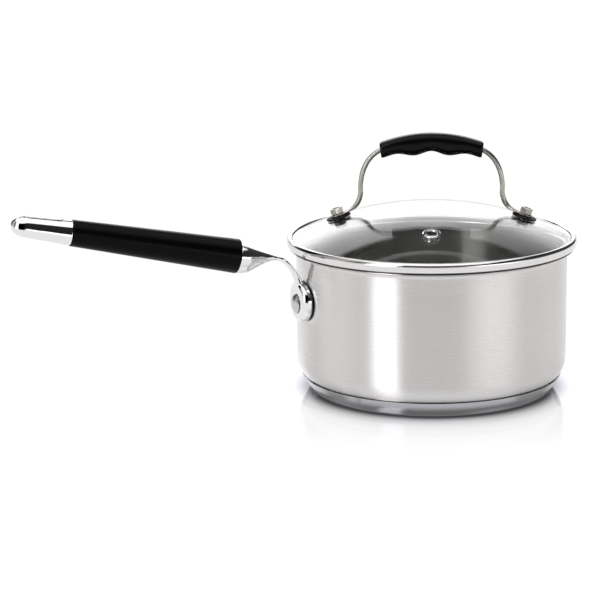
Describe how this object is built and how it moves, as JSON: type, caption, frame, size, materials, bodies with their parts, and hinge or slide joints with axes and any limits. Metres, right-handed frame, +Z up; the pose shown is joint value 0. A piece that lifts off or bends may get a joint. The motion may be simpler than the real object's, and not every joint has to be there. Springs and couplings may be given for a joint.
{
  "type": "saucepan with lid",
  "caption": "Straight-sided steel saucepan with a long black-sleeved riveted handle, an encapsulated base and a domed glass lid with a bail grip.",
  "frame": {"origin": "centre of the flat underside, on the pan's axis", "axes": "+Z up along the pan's axis, -X along the long handle, +Y to the side; the lid is stored closed, as pictured"},
  "size_m": [0.3408, 0.1732, 0.1539],
  "materials": {
    "brushed_wall": "satin, brushed round the wall",
    "polished_steel": "polished",
    "bright_chrome": "mirror bright",
    "core_aluminium": "rolled",
    "soft_touch_black": "soft-touch satin",
    "grip_black": "satin",
    "gasket_rubber": "matt",
    "clear_glass": "clear, faintly green"
  },
  "bodies": {
    "pan": {"pan_body": "brushed_wall", "base_core": "core_aluminium", "base_cap": "polished_steel", "handle_bracket": "bright_chrome", "bracket_rivet": "bright_chrome", "handle_core": "polished_steel", "tie_rod": "polished_steel", "grip_sleeve": "soft_touch_black", "end_cap": "bright_chrome"},
    "lid": {"lid_glass": "clear_glass", "lid_ring": "polished_steel", "vent_eyelet": "polished_steel", "lid_bail": "polished_steel", "lid_grip": "grip_black", "foot_gasket_left": "gasket_rubber", "foot_gasket_right": "gasket_rubber", "inner_washer_left": "gasket_rubber", "inner_washer_right": "gasket_rubber", "lid_screw_left": "polished_steel", "lid_screw_right": "polished_steel", "lid_nut_left": "polished_steel", "lid_nut_right": "polished_steel"}
  },
  "joints": [
    {"name": "lid_lift", "type": "slide", "parent": "pan", "child": "lid", "axis": [0, 0, 1], "range_m": [0, 0.08]}
  ]
}
